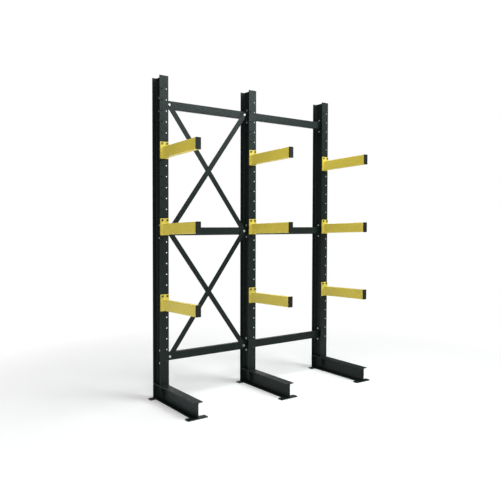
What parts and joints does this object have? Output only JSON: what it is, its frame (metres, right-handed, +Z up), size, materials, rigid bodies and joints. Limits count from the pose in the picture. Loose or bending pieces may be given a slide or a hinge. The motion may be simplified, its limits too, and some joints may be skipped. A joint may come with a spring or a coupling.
{
  "type": "cantilever rack",
  "caption": "Single-sided bolted cantilever rack with punched I-section uprights, tilted box arms and a cross-braced rear frame for storing long goods.",
  "frame": {"origin": "on the floor, under the middle of the whole rack's bounding box, in line with the middle upright", "axes": "+Z up, +X along the rack to the right as seen from the arms' side, -Y the way the arms point"},
  "size_m": [2.1968, 0.7664, 3],
  "materials": {
    "dark_paint": "anthracite green-grey powder coat, semi-matt",
    "yellow_paint": "lemon-yellow powder coat, semi-gloss",
    "cap_plastic": "black moulded polyethylene, fine texture",
    "dark_steel": "black-oxide steel bolts and nuts",
    "zinc_steel": "bright zinc-plated steel bolts, washers and nuts"
  },
  "bodies": {
    "root": {"arm_bolts": "dark_steel", "arm_cap_left_lower": "cap_plastic", "arm_cap_left_middle": "cap_plastic", "arm_cap_left_upper": "cap_plastic", "arm_cap_middle_lower": "cap_plastic", "arm_cap_middle_middle": "cap_plastic", "arm_cap_middle_upper": "cap_plastic", "arm_cap_right_lower": "cap_plastic", "arm_cap_right_middle": "cap_plastic", "arm_cap_right_upper": "cap_plastic", "arm_left_lower": "yellow_paint", "arm_left_middle": "yellow_paint", "arm_left_upper": "yellow_paint", "arm_middle_lower": "yellow_paint", "arm_middle_middle": "yellow_paint", "arm_middle_upper": "yellow_paint", "arm_nuts": "dark_steel", "arm_plate_left_lower": "yellow_paint", "arm_plate_left_middle": "yellow_paint", "arm_plate_left_upper": "yellow_paint", "arm_plate_middle_lower": "yellow_paint", "arm_plate_middle_middle": "yellow_paint", "arm_plate_middle_upper": "yellow_paint", "arm_plate_right_lower": "yellow_paint", "arm_plate_right_middle": "yellow_paint", "arm_plate_right_upper": "yellow_paint", "arm_right_lower": "yellow_paint", "arm_right_middle": "yellow_paint", "arm_right_upper": "yellow_paint", "base_beam_left": "dark_paint", "base_beam_middle": "dark_paint", "base_beam_right": "dark_paint", "base_rear_plates": "dark_paint", "base_stiffeners": "dark_paint", "brace_bolts": "zinc_steel", "brace_lower_falling": "dark_paint", "brace_lower_rising": "dark_paint", "brace_nuts": "zinc_steel", "brace_upper_falling": "dark_paint", "brace_upper_rising": "dark_paint", "brace_washers": "zinc_steel", "floor_lugs_left": "dark_paint", "floor_lugs_middle": "dark_paint", "floor_lugs_right": "dark_paint", "rail_bolts": "zinc_steel", "rail_end_plates_left_bay": "dark_paint", "rail_end_plates_right_bay": "dark_paint", "rail_left_bay_lower": "dark_paint", "rail_left_bay_middle": "dark_paint", "rail_left_bay_upper": "dark_paint", "rail_nuts": "zinc_steel", "rail_right_bay_lower": "dark_paint", "rail_right_bay_middle": "dark_paint", "rail_right_bay_upper": "dark_paint", "upright_left": "dark_paint", "upright_middle": "dark_paint", "upright_right": "dark_paint"}
  },
  "joints": []
}
